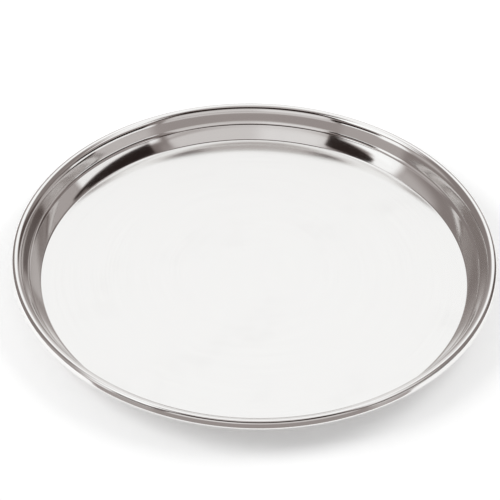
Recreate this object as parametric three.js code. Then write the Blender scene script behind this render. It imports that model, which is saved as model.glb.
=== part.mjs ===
// Round steel buffet plate: a shallow dish pressed from one sheet, with a stepped wall and a rim
// that is turned over, runs down in a short skirt and is curled under, round a stiffening wire.
// Millimetres, +Z up, with the origin on the resting plane under the middle of the plate.
import * as THREE from "three";

// Overall
const OVERALL_DIAMETER = 260;
const OVERALL_HEIGHT = 17.6;
const SHEET = 0.7; // thickness of the steel

// Lower wall, on the food side: slopes are in degrees from level
const FOOT_RADIUS = 1.2; // hollow bend between the floor and the lower wall
const FOOT_SLOPE = 53; // where that bend runs into the lower wall
const LOWER_WALL_SLOPE = 60; // at the wall's top: the wall is slightly hollow

// Step between the two walls
const STEP_HEIGHT = 8.15; // its flattest line above the resting plane
const STEP_SLOPE = 40;
const CREST_RADIUS = 1; // rounded edge below that line
const ROOT_RADIUS = 5; // hollow bend above it

// Upper wall
const UPPER_WALL_SLOPE = 66;
const EASING_RADIUS = 12; // the wall's top leans gently outwards

// Rim
const SHOULDER_SLOPE = 56; // where that easing runs into the rim's inner shoulder
const SHOULDER_RADIUS = 4;
const CROWN_RADIUS = 2; // outer half of the rim's rounded top
const SKIRT = 1.5; // straight stretch below the crown
const SKIRT_SLOPE = 66; // downwards
const WIRE_DIAMETER = 1.1;
const WIRE_CLEARANCE = 0.3; // all round the wire, inside the curl
const WIRE_JOINT = 0.8; // between the two butted ends of the wire
const CURL_TURN = 220; // degrees that the edge turns, from the skirt to its lip

// Fineness of the round stretches
const ROUND_STEPS = 72;
const WIRE_SIDES = 10;
const BEND_STEP = 20; // degrees

const QUARTER_TURN = Math.PI / 2;
const radians = THREE.MathUtils.degToRad;
const cosine = (degrees) => Math.cos(radians(degrees));
const sine = (degrees) => Math.sin(radians(degrees));

// Sizes that follow from those above
const outerRadius = OVERALL_DIAMETER / 2;
const wireRadius = WIRE_DIAMETER / 2;
const curlRadius = wireRadius + WIRE_CLEARANCE + SHEET;
const footRise = FOOT_RADIUS * (1 - cosine(FOOT_SLOPE));
const crestRise = CREST_RADIUS * (cosine(STEP_SLOPE) - cosine(LOWER_WALL_SLOPE));
const rootRise = ROOT_RADIUS * (cosine(STEP_SLOPE) - cosine(UPPER_WALL_SLOPE));
const easingRise = EASING_RADIUS * (cosine(SHOULDER_SLOPE) - cosine(UPPER_WALL_SLOPE));
const shoulderRise = SHOULDER_RADIUS * (1 - cosine(SHOULDER_SLOPE));
const lowerWallRise = STEP_HEIGHT - SHEET - footRise - crestRise;
const lowerWallRadius = lowerWallRise / (cosine(FOOT_SLOPE) - cosine(LOWER_WALL_SLOPE));
const upperWallRise = OVERALL_HEIGHT - STEP_HEIGHT - rootRise - easingRise - shoulderRise;
const upperWallLength = upperWallRise / sine(UPPER_WALL_SLOPE);

// The sheet's section as a line that is followed outwards from the floor's edge, keeping the food
// side and the back of the sheet together. A hollow bend gets steeper, a rounded one flatter.
class SheetSection {
  constructor() {
    this.face = [new THREE.Vector2(0, SHEET)];
    this.back = [new THREE.Vector2(0, 0)];
  }

  bend(radius, from, to) {
    const side = Math.sign(to - from);
    const steps = Math.max(2, Math.ceil(Math.abs(to - from) / BEND_STEP));
    const spoke = (slope) => new THREE.Vector2(sine(slope), -cosine(slope)).multiplyScalar(side);
    const centre = this.face.at(-1).clone().addScaledVector(spoke(from), -radius);
    for (let i = 1; i <= steps; i++) {
      const out = spoke(from + ((to - from) * i) / steps);
      this.face.push(centre.clone().addScaledVector(out, radius));
      this.back.push(centre.clone().addScaledVector(out, radius + side * SHEET));
    }
    return centre;
  }

  straight(length, slope) {
    const along = new THREE.Vector2(cosine(slope), sine(slope)).multiplyScalar(length);
    this.face.push(this.face.at(-1).clone().add(along));
    this.back.push(this.back.at(-1).clone().add(along));
  }
}

const sheet = new SheetSection();
sheet.bend(FOOT_RADIUS, 0, FOOT_SLOPE);
sheet.bend(lowerWallRadius, FOOT_SLOPE, LOWER_WALL_SLOPE);
sheet.bend(CREST_RADIUS, LOWER_WALL_SLOPE, STEP_SLOPE);
sheet.bend(ROOT_RADIUS, STEP_SLOPE, UPPER_WALL_SLOPE);
sheet.straight(upperWallLength, UPPER_WALL_SLOPE);
sheet.bend(EASING_RADIUS, UPPER_WALL_SLOPE, SHOULDER_SLOPE);
sheet.bend(SHOULDER_RADIUS, SHOULDER_SLOPE, 0);
sheet.bend(CROWN_RADIUS, 0, -SKIRT_SLOPE);
sheet.straight(SKIRT, -SKIRT_SLOPE);
const curlCentre = sheet.bend(curlRadius, -SKIRT_SLOPE, -SKIRT_SLOPE - CURL_TURN);

// The floor takes up what the wall and the rim leave of the overall diameter.
const floorRadius = outerRadius - curlCentre.x - curlRadius;
const wireCentre = new THREE.Vector2(floorRadius + curlCentre.x, curlCentre.y);

function namedMesh(name, geometry, color, roughness) {
  const material = new THREE.MeshStandardMaterial({ color, roughness, metalness: 1 });
  const mesh = new THREE.Mesh(geometry, material);
  mesh.name = name;
  return mesh;
}

function plateBody() {
  const outwards = new THREE.Vector2(floorRadius, 0);
  const wall = [...sheet.back, ...sheet.face.toReversed()].map((p) => p.clone().add(outwards));
  const section = [new THREE.Vector2(0, 0), ...wall, new THREE.Vector2(0, SHEET)];
  const geometry = new THREE.LatheGeometry(section, ROUND_STEPS).rotateX(QUARTER_TURN);
  return namedMesh("plate_body", geometry, 0xd9d8d6, 0.12);
}

// The wire's centre line: a ring that stays open by the gap between the butted ends.
class WireLine extends THREE.Curve {
  getPoint(t, target = new THREE.Vector3()) {
    const halfGap = WIRE_JOINT / 2 / wireCentre.x;
    const angle = THREE.MathUtils.lerp(halfGap, 2 * Math.PI - halfGap, t);
    return target.set(wireCentre.x * Math.cos(angle), wireCentre.x * Math.sin(angle), wireCentre.y);
  }
}

function rimWire() {
  const section = new THREE.Shape().absarc(0, 0, wireRadius, 0, 2 * Math.PI);
  const geometry = new THREE.ExtrudeGeometry(section, {
    steps: ROUND_STEPS,
    curveSegments: WIRE_SIDES / 2,
    extrudePath: new WireLine(),
  });
  return namedMesh("rim_wire", geometry, 0xa9a8a5, 0.4);
}

const buffetPlate = new THREE.Group();
buffetPlate.name = "buffet_plate";
buffetPlate.add(plateBody(), rimWire());

export default buffetPlate;
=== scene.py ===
"""A round steel buffet plate on a pale floor, in plain soft studio light."""

import math
from collections import namedtuple

import bpy
from mathutils import Matrix, Vector


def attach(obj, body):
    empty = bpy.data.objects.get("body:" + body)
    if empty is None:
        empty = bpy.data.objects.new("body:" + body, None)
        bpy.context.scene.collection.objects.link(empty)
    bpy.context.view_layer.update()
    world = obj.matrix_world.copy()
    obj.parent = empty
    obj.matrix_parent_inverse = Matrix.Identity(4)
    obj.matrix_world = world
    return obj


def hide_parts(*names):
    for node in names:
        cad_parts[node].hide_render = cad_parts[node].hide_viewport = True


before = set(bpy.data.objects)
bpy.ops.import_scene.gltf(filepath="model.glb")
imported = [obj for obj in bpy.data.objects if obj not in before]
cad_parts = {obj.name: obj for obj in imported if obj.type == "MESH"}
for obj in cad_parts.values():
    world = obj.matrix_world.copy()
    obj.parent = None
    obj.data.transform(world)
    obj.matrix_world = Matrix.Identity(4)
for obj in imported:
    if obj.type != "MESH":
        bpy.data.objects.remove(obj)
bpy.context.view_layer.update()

MM = 0.001

# The pressed sheet: slopes of its upper side are in degrees from level
OUTER_RADIUS = 130 * MM
HEIGHT = 17.6 * MM
SHEET = 0.7 * MM
FOOT_RADIUS = 1.2 * MM
FOOT_SLOPE = 53
LOWER_WALL_SLOPE = 60
STEP_HEIGHT = 8.15 * MM
STEP_SLOPE = 40
CREST_RADIUS = 1 * MM
ROOT_RADIUS = 5 * MM
UPPER_WALL_SLOPE = 66
EASING_RADIUS = 12 * MM
SHOULDER_SLOPE = 56
SHOULDER_RADIUS = 4 * MM
CROWN_RADIUS = 2 * MM
SKIRT = 1.5 * MM
SKIRT_SLOPE = 66
CURL_TURN = 220

# The waver of the pressed wall, which sets in just above the floor
WAVER = 0.06 * MM
WAVER_SIZE = 60 * MM
WAVER_FROM = 1.3 * SHEET
WAVER_FULL = 8 * WAVER_FROM
WAVER_SEED = 4.0

# The wire in the rolled rim
WIRE_RADIUS = 0.55 * MM
WIRE_CLEARANCE = 0.3 * MM
WIRE_JOINT = 0.8 * MM

# Fineness of the meshes: steps in degrees, or numbers of steps
ROUND_STEPS = 240
WIRE_SIDES = 20
BEND_STEP = 4
LEAST_BEND_STEPS = 4
FINE_BEND_STEPS = 8
STRAIGHT_STEPS = 4
LIP_STEP = 30
FLOOR_RINGS = 12
MERGE_DISTANCE = 0.002 * MM

# The finish of the sheet, where a Share is for the wall, with what level stretches and the back add
Share = namedtuple("Share", "wall level back")
STEEL_COLOUR = (0.86, 0.852, 0.842)
STEEL_ROUGHNESS = Share(0.07, 0.07, 0.12)
LINE_ROUGHNESS = Share(0.02, 0.05, 0.1)
RIDGES = Share(0.25, 0.6, 1.6)
LEVEL_UP_TO = 0.9 * MM
WALL_FROM = 2.5 * MM
LINES_PER_METRE = 1100
FINE_LINES_PER_METRE = 5200
SMUDGES_PER_METRE = 34.0
LINE_SEED = 3.1
FINE_LINE_SEED = 7.7
SMUDGE_SEED = 1.9
RIDGE_DEPTH = 0.1 * MM
RIDGE_STRENGTH = 0.02

# The finish of the wire
WIRE_COLOUR = (0.60, 0.59, 0.57)
DRAWN_LINES_PER_METRE = 5000

# The floor, which ends in front of the plate and lies a hair below it
FLOOR_SIZE = 6.0
FLOOR_FRONT = 0.166
FLOOR_DROP = 0.05 * MM
FLOOR_COLOUR = (0.9, 0.9, 0.9, 1.0)
FLOOR_GLOW = 0.19

# The camera, over the front edge
CAMERA_ELEVATION = 41.2
CAMERA_DISTANCE = 8 * OUTER_RADIUS
CAMERA_LENS = 140
CAMERA_SENSOR = 36
CAMERA_ROLL = 1.23
CAMERA_AIM = Vector((-0.0195 * OUTER_RADIUS, 0.0004 * OUTER_RADIUS, HEIGHT - 1.8 * MM))
CAMERA_NEAR = 0.01
CAMERA_FAR = 20

# The studio as the metal shows it, in degrees: where a card's middle is to the right of the front,
# its half width, its lower and upper end above level, its brightness and softness, and how much its
# right end is lower than its middle, per degree. Later cards hide earlier ones.
Card = namedtuple("Card", "name middle half low high level soft drop", defaults=(0,))
CARDS = (
    Card("pale back of the room", 180, 25, -5, 62, 0.45, 12),
    Card("white back wall", 180, 12, -5, 34, 0.85, 5),
    Card("white back wall, upper part", 180, 20, 34, 62, 1.06, 5),
    Card("white ceiling", 180, 88, 60, 95, 1.06, 5),
    Card("grey middle of the ceiling", 180, 190, 72, 95, 0.55, 5),
    Card("low front", 4, 50, -40, 13, 0.34, 2),
    Card("front table", 4, 41, 13, 22, 0.62, 2),
    Card("front wall", 4, 41, 23, 46, 0.66, 1.5),
    Card("front wall, lit part", -18, 17, 23, 46, 0.80, 6),
    Card("front wall, upper part", 4, 41, 46, 53, 0.42, 4),
    Card("dark front ceiling", 4, 60, 53, 79, 0.02, 1.5),
    Card("dark edge of the ceiling", 0, 110, 71, 79, 0.08, 2),
    Card("low left", -56, 16, -5, 16, 0.42, 3),
    Card("left screen", -88, 14, 13, 36, 0.48, 6),
    Card("left screen, upper part", -80, 28, 34, 47, 0.35, 4),
    Card("left soft box", -77, 25, 47, 71, 1.16, 3),
    Card("left soft box, far end", -105, 30, 58, 71, 1.10, 4),
    Card("left soft box, foot", -67, 8, 12, 34, 1.05, 3),
    Card("left stand", -44, 4, 31, 50, 0.25, 3),
    Card("left stand, upper part", -44, 5, 46, 60, 0.05, 2),
    Card("left gap", -48.5, 13, 21.8, 33, 0.025, 0.8, 0.15),
    Card("left strip", -55, 15, 16.5, 20.5, 1.1, 1),
    Card("low right", 65, 15, -5, 10, 0.55, 4),
    Card("right screen", 77, 32, 27, 47, 0.32, 4),
    Card("right soft box", 84, 23, 47, 63, 0.95, 3),
    Card("right screen, far end", 110, 14, -0.5, 14, 0.42, 2, 0.42),
    Card("right strip", 72, 23, 9, 18, 0.95, 2, 0.15),
    Card("right stand", 55, 4.5, 22, 46, 0.2, 2),
    Card("right stand, upper part", 55, 5, 46, 62, 0.05, 2),
    Card("right gap", 78, 24, 15.7, 28, 0.02, 0.8, 0.13),
    Card("right gap, grey end", 104, 11, 15.2, 28, 0.2, 1.5, 0.13),
    Card("right table edge", 95, 15, -1.6, 4.4, 0.03, 1.2, 0.33),
    Card("pale screen, right of the back", 136, 18, -5, 15, 0.55, 2.5, -0.47),
    Card("dark screen, right of the back", 136, 18, 15, 32, 0.1, 2.5, -0.47),
)
ROOM_LEVEL = 0.25
AMBIENT_LEVEL = 0.5

# The powers that red, green and blue are raised to, so that the darker cards are warmer
WARMTH = (1.0, 1.1, 1.13)

# Soft lamps: degrees to the right of the front and above level, and the share of the light they give
LAMPS = (("left lamp", -88, 38, 0.3), ("right lamp", 112, 40, 0.25))
LAMP_DISTANCE = 1.2
LAMP_SIZE = 0.8


def cosine(degrees):
    return math.cos(math.radians(degrees))


def sine(degrees):
    return math.sin(math.radians(degrees))


class Value:
    """One output of a node, which Python's own operators turn into further maths nodes."""

    def __init__(self, nodes, socket):
        self.nodes = nodes
        self.socket = socket

    def other(self, output):
        return Value(self.nodes, self.socket.node.outputs[output])

    def __add__(self, other):
        return self.nodes.maths("ADD", self, other)

    __radd__ = __add__

    def __sub__(self, other):
        return self.nodes.maths("SUBTRACT", self, other)

    def __rsub__(self, other):
        return self.nodes.maths("SUBTRACT", other, self)

    def __mul__(self, other):
        return self.nodes.maths("MULTIPLY", self, other)

    __rmul__ = __mul__

    def __truediv__(self, other):
        return self.nodes.maths("DIVIDE", self, other)

    def __rtruediv__(self, other):
        return self.nodes.maths("DIVIDE", other, self)

    def __neg__(self):
        return 0 - self

    def __abs__(self):
        return self.nodes.maths("ABSOLUTE", self)


class Nodes:
    """Makes the nodes of one tree."""

    def __init__(self, tree):
        self.tree = tree
        tree.nodes.clear()

    def make(self, kind, inputs=None, output=0, **settings):
        node = self.tree.nodes.new(kind)
        for name, setting in settings.items():
            setattr(node, name, setting)
        for key, value in (inputs or {}).items():
            if isinstance(value, Value):
                self.tree.links.new(value.socket, node.inputs[key])
            else:
                node.inputs[key].default_value = value
        return Value(self, node.outputs[output]) if len(node.outputs) else node

    def maths(self, operation, *operands):
        return self.make("ShaderNodeMath", dict(enumerate(operands)), operation=operation)

    def vector(self, x, y, z):
        return self.make("ShaderNodeCombineXYZ", {"X": x, "Y": y, "Z": z})

    def parts(self, vector):
        x = self.make("ShaderNodeSeparateXYZ", {0: vector})
        return x, x.other("Y"), x.other("Z")

    def length(self, x, y):
        return self.maths("SQRT", x * x + y * y)

    def smooth(self, value, low, high, to_low=0.0, to_high=1.0):
        return self.make(
            "ShaderNodeMapRange",
            {"Value": value, "From Min": low, "From Max": high, "To Min": to_low, "To Max": to_high},
            interpolation_type="SMOOTHSTEP",
        )

    def noise(self, vector, seed, scale=1.0, detail=2.0, roughness=0.5):
        return self.make(
            "ShaderNodeTexNoise",
            {"Vector": vector, "W": seed, "Scale": scale, "Detail": detail, "Roughness": roughness},
            noise_dimensions="4D",
        )

    def tinted(self, tone, colour):
        return self.vector(*[tone * channel for channel in colour])


class Sheet:
    """The section of the pressed sheet, followed outwards from the floor's edge."""

    def __init__(self):
        self.face = [Vector((0, SHEET))]
        self.back = [Vector((0, 0))]

    def bend(self, radius, start, stop, steps=None):
        side = math.copysign(1, stop - start)
        steps = steps or max(LEAST_BEND_STEPS, math.ceil(abs(stop - start) / BEND_STEP))
        centre = self.face[-1] - side * radius * Vector((sine(start), -cosine(start)))
        for i in range(1, steps + 1):
            slope = start + (stop - start) * i / steps
            spoke = side * Vector((sine(slope), -cosine(slope)))
            self.face.append(centre + radius * spoke)
            self.back.append(centre + (radius + side * SHEET) * spoke)
        return centre

    def straight(self, length, slope):
        along = length / STRAIGHT_STEPS * Vector((cosine(slope), sine(slope)))
        for _ in range(STRAIGHT_STEPS):
            self.face.append(self.face[-1] + along)
            self.back.append(self.back[-1] + along)

    def lip(self):
        """The rounded edge of the sheet, from the back round to the upper side."""
        middle = (self.face[-1] + self.back[-1]) / 2
        spoke = self.back[-1] - middle
        turned = Vector((-spoke.y, spoke.x))
        return [middle + spoke * cosine(a) + turned * sine(a) for a in range(LIP_STEP, 180, LIP_STEP)]


def plate_section():
    """The closed outline of the sheet from the axis out and back, and the middle of its curl."""
    curl_radius = WIRE_RADIUS + WIRE_CLEARANCE + SHEET
    foot_rise = FOOT_RADIUS * (1 - cosine(FOOT_SLOPE))
    crest_rise = CREST_RADIUS * (cosine(STEP_SLOPE) - cosine(LOWER_WALL_SLOPE))
    root_rise = ROOT_RADIUS * (cosine(STEP_SLOPE) - cosine(UPPER_WALL_SLOPE))
    easing_rise = EASING_RADIUS * (cosine(SHOULDER_SLOPE) - cosine(UPPER_WALL_SLOPE))
    shoulder_rise = SHOULDER_RADIUS * (1 - cosine(SHOULDER_SLOPE))
    lower_rise = STEP_HEIGHT - SHEET - foot_rise - crest_rise
    lower_radius = lower_rise / (cosine(FOOT_SLOPE) - cosine(LOWER_WALL_SLOPE))
    upper_rise = HEIGHT - STEP_HEIGHT - root_rise - easing_rise - shoulder_rise
    lip_rounding = math.degrees(SHEET / 2 / (curl_radius - SHEET / 2))

    sheet = Sheet()
    sheet.bend(FOOT_RADIUS, 0, FOOT_SLOPE)
    sheet.bend(lower_radius, FOOT_SLOPE, LOWER_WALL_SLOPE, FINE_BEND_STEPS)
    sheet.bend(CREST_RADIUS, LOWER_WALL_SLOPE, STEP_SLOPE, FINE_BEND_STEPS)
    sheet.bend(ROOT_RADIUS, STEP_SLOPE, UPPER_WALL_SLOPE)
    sheet.straight(upper_rise / sine(UPPER_WALL_SLOPE), UPPER_WALL_SLOPE)
    sheet.bend(EASING_RADIUS, UPPER_WALL_SLOPE, SHOULDER_SLOPE)
    sheet.bend(SHOULDER_RADIUS, SHOULDER_SLOPE, 0)
    sheet.bend(CROWN_RADIUS, 0, -SKIRT_SLOPE)
    sheet.straight(SKIRT, -SKIRT_SLOPE)
    curl = sheet.bend(curl_radius, -SKIRT_SLOPE, lip_rounding - SKIRT_SLOPE - CURL_TURN)

    floor_radius = OUTER_RADIUS - curl.x - curl_radius
    outwards = Vector((floor_radius, 0))
    rings = [floor_radius * i / FLOOR_RINGS for i in range(FLOOR_RINGS)]
    face = [Vector((r, SHEET)) for r in rings] + [p + outwards for p in sheet.face]
    back = [p + outwards for p in sheet.lip()[::-1] + sheet.back[::-1]]
    back += [Vector((r, 0)) for r in rings[::-1]]
    upper_side = [1.0] * len(face) + [0.0] * len(back)
    return face + back, upper_side, curl + outwards


def add_object(name, data):
    made = bpy.data.objects.new(name, data)
    bpy.context.collection.objects.link(made)
    return made


def made_object(name, mesh, tree, values):
    """The plain mesh that a geometry tree makes of a starting mesh, as an object of its own."""
    start = add_object(name + "_start", mesh)
    modifier = start.modifiers.new(tree.name, "NODES")
    modifier.node_group = tree
    for socket in tree.interface.items_tree:
        if socket.in_out == "INPUT" and socket.name in values:
            modifier[socket.identifier] = values[socket.name]
    bpy.context.view_layer.update()
    shown = start.evaluated_get(bpy.context.evaluated_depsgraph_get())
    plain = bpy.data.meshes.new_from_object(shown)
    plain.name = name
    bpy.data.objects.remove(start)
    return add_object(name, plain)


def tree_with_inputs(name, inputs):
    tree = bpy.data.node_groups.new(name, "GeometryNodeTree")
    tree.interface.new_socket("Geometry", in_out="INPUT", socket_type="NodeSocketGeometry")
    for title, kind in inputs.items():
        tree.interface.new_socket(title, in_out="INPUT", socket_type="NodeSocket" + kind)
    tree.interface.new_socket("Geometry", in_out="OUTPUT", socket_type="NodeSocketGeometry")
    return tree


def finish_tree(n, geometry, finish):
    """The end of a geometry tree: real geometry, in its material."""
    geometry = n.make("GeometryNodeRealizeInstances", {"Geometry": geometry})
    geometry = n.make("GeometryNodeSetMaterial", {"Geometry": geometry, "Material": finish})
    n.make("NodeGroupOutput", {"Geometry": geometry})


def spin_tree():
    """Spins a section about the axis, with a slight waver in the wall as pressed sheet has."""
    tree = tree_with_inputs(
        "spin",
        {"Steps round": "Int", "Waver": "Float", "Waver size": "Float", "Waver from": "Float",
         "Waver full": "Float", "Seed": "Float", "Merge distance": "Float", "Finish": "Material"},
    )
    n = Nodes(tree)
    section = n.make("NodeGroupInput", output="Geometry")
    steps = section.other("Steps round")
    rows = steps + 1
    points = n.make("GeometryNodeAttributeDomainSize", {"Geometry": section}, "Point Count")
    grid = n.make("GeometryNodeMeshGrid", {"Vertices X": points, "Vertices Y": rows})
    index = n.make("GeometryNodeInputIndex")
    place = n.make("GeometryNodeInputPosition")
    column = n.maths("FLOOR", index / rows)
    angle = (index - column * rows) / steps * math.tau

    def sampled(kind, value):
        return n.make(
            "GeometryNodeSampleIndex",
            {"Geometry": section, "Value": value, "Index": column},
            data_type=kind,
        )

    turned = n.make(
        "ShaderNodeVectorRotate",
        {"Vector": sampled("FLOAT_VECTOR", place), "Angle": angle},
        rotation_type="Z_AXIS",
    )
    geometry = n.make("GeometryNodeSetPosition", {"Geometry": grid, "Position": turned})
    for title in ("along", "upper_side"):
        stored = n.make("GeometryNodeInputNamedAttribute", {"Name": title}, data_type="FLOAT")
        geometry = n.make(
            "GeometryNodeStoreNamedAttribute",
            {"Geometry": geometry, "Name": title, "Value": sampled("FLOAT", stored)},
            data_type="FLOAT",
            domain="POINT",
        )
    geometry = n.make(
        "GeometryNodeMergeByDistance",
        {"Geometry": geometry, "Distance": section.other("Merge distance")},
    )
    height = n.parts(place)[2]
    raised = n.smooth(height, section.other("Waver from"), section.other("Waver full"))
    bump = n.noise(place, section.other("Seed"), 1 / section.other("Waver size"), detail=1.0) - 0.5
    lift = n.vector(0.0, 0.0, bump * raised * section.other("Waver") * 2)
    geometry = n.make("GeometryNodeSetPosition", {"Geometry": geometry, "Offset": lift})
    geometry = n.make("GeometryNodeSetShadeSmooth", {"Geometry": geometry})
    finish_tree(n, geometry, section.other("Finish"))
    return tree


def ring_tree():
    """A ring of round wire that stays open by the gap between its butted ends."""
    tree = tree_with_inputs(
        "wire ring",
        {"Ring radius": "Float", "Height": "Float", "Wire radius": "Float", "Joint": "Float",
         "Steps round": "Int", "Sides": "Int", "Finish": "Material"},
    )
    n = Nodes(tree)
    given = n.make("NodeGroupInput", output="Geometry")
    gap = given.other("Joint") / given.other("Ring radius")
    line = n.make(
        "GeometryNodeCurveArc",
        {"Resolution": given.other("Steps round"), "Radius": given.other("Ring radius"),
         "Start Angle": gap / 2, "Sweep Angle": math.tau - gap},
        mode="RADIUS",
    )
    raised = n.make(
        "GeometryNodeTransform",
        {"Geometry": line, "Translation": n.vector(0.0, 0.0, given.other("Height"))},
    )
    profile = n.make(
        "GeometryNodeCurvePrimitiveCircle",
        {"Resolution": given.other("Sides"), "Radius": given.other("Wire radius")},
        mode="RADIUS",
    )
    swept = n.make(
        "GeometryNodeCurveToMesh",
        {"Curve": raised, "Profile Curve": profile, "Fill Caps": True},
    )
    finish_tree(n, swept, given.other("Finish"))
    return tree


def new_material(name):
    material = bpy.data.materials.new(name)
    material.use_nodes = True
    return material, Nodes(material.node_tree)


def polished_steel():
    """Bright stainless steel: mirror wall and rim, a softer floor, a satin back."""
    material, n = new_material("polished_steel")
    place = n.make("ShaderNodeTexCoord", output="Object")
    x, y, z = n.parts(place)
    radius = n.length(x, y)
    along = n.make("ShaderNodeAttribute", output="Fac", attribute_name="along")
    upper_side = n.make("ShaderNodeAttribute", output="Fac", attribute_name="upper_side")
    back = 1 - upper_side
    level = n.smooth(z, LEVEL_UP_TO, WALL_FROM, 1.0, 0.0)

    def shared(share, level_stretch):
        return share.wall + share.level * level_stretch + share.back * back

    def around(breaks, per_metre):
        """Coordinates for lines round the axis: how often they break up, and how many there are."""
        return n.vector(x / radius * breaks, y / radius * breaks, along * per_metre)

    lines = n.noise(around(1.4, LINES_PER_METRE), LINE_SEED, detail=3.0, roughness=0.62)
    fine = n.noise(around(3.0, FINE_LINES_PER_METRE), FINE_LINE_SEED, detail=2.0, roughness=0.6)
    smudge = n.noise(place, SMUDGE_SEED, SMUDGES_PER_METRE, detail=4.0, roughness=0.6)
    rough = shared(STEEL_ROUGHNESS, level * upper_side)
    rough = rough + (lines - 0.5) * shared(LINE_ROUGHNESS, level)
    rough = rough + n.smooth(smudge, 0.52, 0.8) * 0.04
    tone = 1 - (lines - 0.5) * 0.03 - n.smooth(smudge, 0.5, 0.85) * 0.02
    ridges = fine * shared(RIDGES, level) + lines * 0.5
    bump = n.make(
        "ShaderNodeBump",
        {"Strength": RIDGE_STRENGTH, "Distance": RIDGE_DEPTH, "Height": ridges},
        "Normal",
    )
    steel = n.make(
        "ShaderNodeBsdfPrincipled",
        {"Base Color": n.tinted(tone, STEEL_COLOUR), "Metallic": 1.0, "Roughness": rough, "Normal": bump},
    )
    n.make("ShaderNodeOutputMaterial", {"Surface": steel})
    return material


def wire_steel():
    """Plain drawn wire: grey, with fine lines along it."""
    material, n = new_material("wire_steel")
    x, y, z = n.parts(n.make("ShaderNodeTexCoord", output="Object"))
    radius = n.length(x, y)
    around = n.vector(x / radius * 4, y / radius * 4, radius * DRAWN_LINES_PER_METRE)
    drawn = n.noise(around, z * DRAWN_LINES_PER_METRE)
    tone = 0.92 + 0.16 * drawn
    rough = 0.3 + 0.2 * drawn
    steel = n.make(
        "ShaderNodeBsdfPrincipled",
        {"Base Color": n.tinted(tone, WIRE_COLOUR), "Metallic": 1.0, "Roughness": rough},
    )
    n.make("ShaderNodeOutputMaterial", {"Surface": steel})
    return material


def sight(n):
    """1 where the camera itself looks, and 1 where it looks by way of metal or glass."""
    direct = n.make("ShaderNodeLightPath", output="Is Camera Ray")
    mirrored = n.maths("MAXIMUM", direct.other("Is Glossy Ray"), direct.other("Is Transmission Ray"))
    return direct, mirrored


def pale_floor():
    material, n = new_material("pale_floor")
    seen = n.maths("MAXIMUM", *sight(n))
    diffuse = n.make("ShaderNodeBsdfDiffuse", {"Color": FLOOR_COLOUR})
    glow = n.make("ShaderNodeEmission", {"Strength": seen * FLOOR_GLOW})
    floor = n.make("ShaderNodeAddShader", {0: diffuse, 1: glow})
    n.make("ShaderNodeOutputMaterial", {"Surface": floor})
    return material


def studio_world():
    """A plain studio as polished metal shows it: pale cards in a room of warm grey."""
    world = bpy.data.worlds.new("studio")
    world.use_nodes = True
    bpy.context.scene.world = world
    n = Nodes(world.node_tree)
    x, y, z = n.parts(n.make("ShaderNodeTexCoord", output="Generated"))
    turn = n.maths("DEGREES", n.maths("ARCTAN2", x, -y))
    rise = n.maths("DEGREES", n.maths("ARCTAN2", z, n.length(x, y)))
    shown = ROOM_LEVEL
    for card in CARDS:
        aside = n.maths("WRAP", turn - card.middle, 180.0, -180.0)
        above = rise + aside * card.drop
        mask = n.smooth(abs(aside), card.half - card.soft, card.half + card.soft, 1.0, 0.0)
        mask = mask * n.smooth(above, card.low - card.soft, card.low + card.soft)
        mask = mask * n.smooth(above, card.high - card.soft, card.high + card.soft, 1.0, 0.0)
        shown = mask * (card.level - shown) + shown
        shown.socket.node.label = card.name
    direct, mirrored = sight(n)
    level = mirrored * shown + (1 - mirrored) * AMBIENT_LEVEL
    level = direct * (1 - level) + level
    warm = [n.maths("POWER", level, mirrored * (power - 1) + 1) for power in WARMTH]
    background = n.make("ShaderNodeBackground", {"Color": n.vector(*warm), "Strength": 1.0})
    n.make("ShaderNodeOutputWorld", {"Surface": background})


def add_floor():
    mesh = bpy.data.meshes.new("floor")
    half = FLOOR_SIZE / 2
    corners = [(-half, -FLOOR_FRONT, 0), (half, -FLOOR_FRONT, 0), (half, half, 0), (-half, half, 0)]
    mesh.from_pydata(corners, [], [(0, 1, 2, 3)])
    mesh.materials.append(pale_floor())
    floor = add_object("floor", mesh)
    floor.location.z = -FLOOR_DROP


def add_lamp(name, turn, rise, share):
    """A soft lamp that gives a level surface the given share of plain light."""
    lamp = bpy.data.lights.new(name, "AREA")
    lamp.shape = "DISK"
    lamp.size = LAMP_SIZE
    lamp.energy = share * math.pi**2 * LAMP_DISTANCE**2 / sine(rise)
    towards = Vector((sine(turn) * cosine(rise), -cosine(turn) * cosine(rise), sine(rise)))
    placed = add_object(name, lamp)
    placed.visible_glossy = False
    placed.location = LAMP_DISTANCE * towards
    placed.rotation_euler = (-towards).to_track_quat("-Z", "Y").to_euler()


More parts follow.
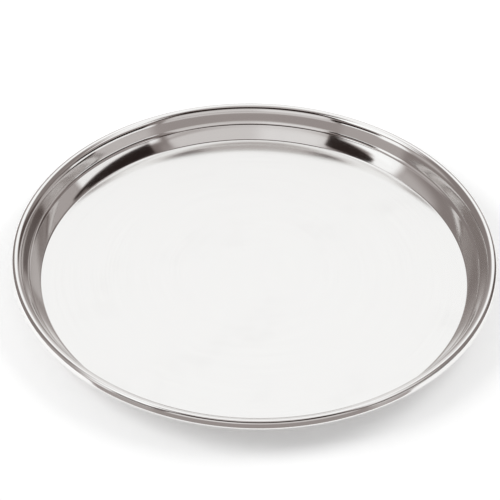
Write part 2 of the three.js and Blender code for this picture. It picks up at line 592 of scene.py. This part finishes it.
def add_camera():
    camera_data = bpy.data.cameras.new("camera")
    camera_data.lens = CAMERA_LENS
    camera_data.sensor_width = CAMERA_SENSOR
    camera_data.clip_start = CAMERA_NEAR
    camera_data.clip_end = CAMERA_FAR
    back = Vector((0, -cosine(CAMERA_ELEVATION), sine(CAMERA_ELEVATION)))
    right = Vector((1, 0, 0))
    up = back.cross(right)
    rolled_right = cosine(CAMERA_ROLL) * right + sine(CAMERA_ROLL) * up
    rolled_up = cosine(CAMERA_ROLL) * up - sine(CAMERA_ROLL) * right
    turn = Matrix((rolled_right, rolled_up, back)).transposed().to_4x4()
    camera = add_object("camera", camera_data)
    camera.matrix_world = Matrix.Translation(CAMERA_AIM + CAMERA_DISTANCE * back) @ turn
    bpy.context.scene.camera = camera


def plate_body(outline, upper_side):
    mesh = bpy.data.meshes.new("section")
    mesh.from_pydata([(p.x, 0, p.y) for p in outline], [(i, i + 1) for i in range(len(outline) - 1)], [])
    travelled = [0.0]
    for before, after in zip(outline, outline[1:]):
        travelled.append(travelled[-1] + (after - before).length)
    mesh.attributes.new("along", "FLOAT", "POINT").data.foreach_set("value", travelled)
    mesh.attributes.new("upper_side", "FLOAT", "POINT").data.foreach_set("value", upper_side)
    body = made_object(
        "plate_spun", mesh, spin_tree(),
        {"Steps round": ROUND_STEPS, "Waver": WAVER, "Waver size": WAVER_SIZE, "Waver from": WAVER_FROM,
         "Waver full": WAVER_FULL, "Seed": WAVER_SEED, "Merge distance": MERGE_DISTANCE,
         "Finish": polished_steel()},
    )
    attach(body, "root")
    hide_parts("plate_body")


def rim_wire(curl):
    wire = made_object(
        "wire_ring", bpy.data.meshes.new("wire_start"), ring_tree(),
        {"Ring radius": curl.x, "Height": curl.y, "Wire radius": WIRE_RADIUS, "Joint": WIRE_JOINT,
         "Steps round": ROUND_STEPS, "Sides": WIRE_SIDES, "Finish": wire_steel()},
    )
    wire.data.shade_smooth()
    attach(wire, "root")
    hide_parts("rim_wire")


outline, upper_side, curl = plate_section()
plate_body(outline, upper_side)
rim_wire(curl)
add_floor()
for lamp in LAMPS:
    add_lamp(*lamp)
add_camera()
studio_world()
bpy.context.scene.view_settings.view_transform = "Standard"
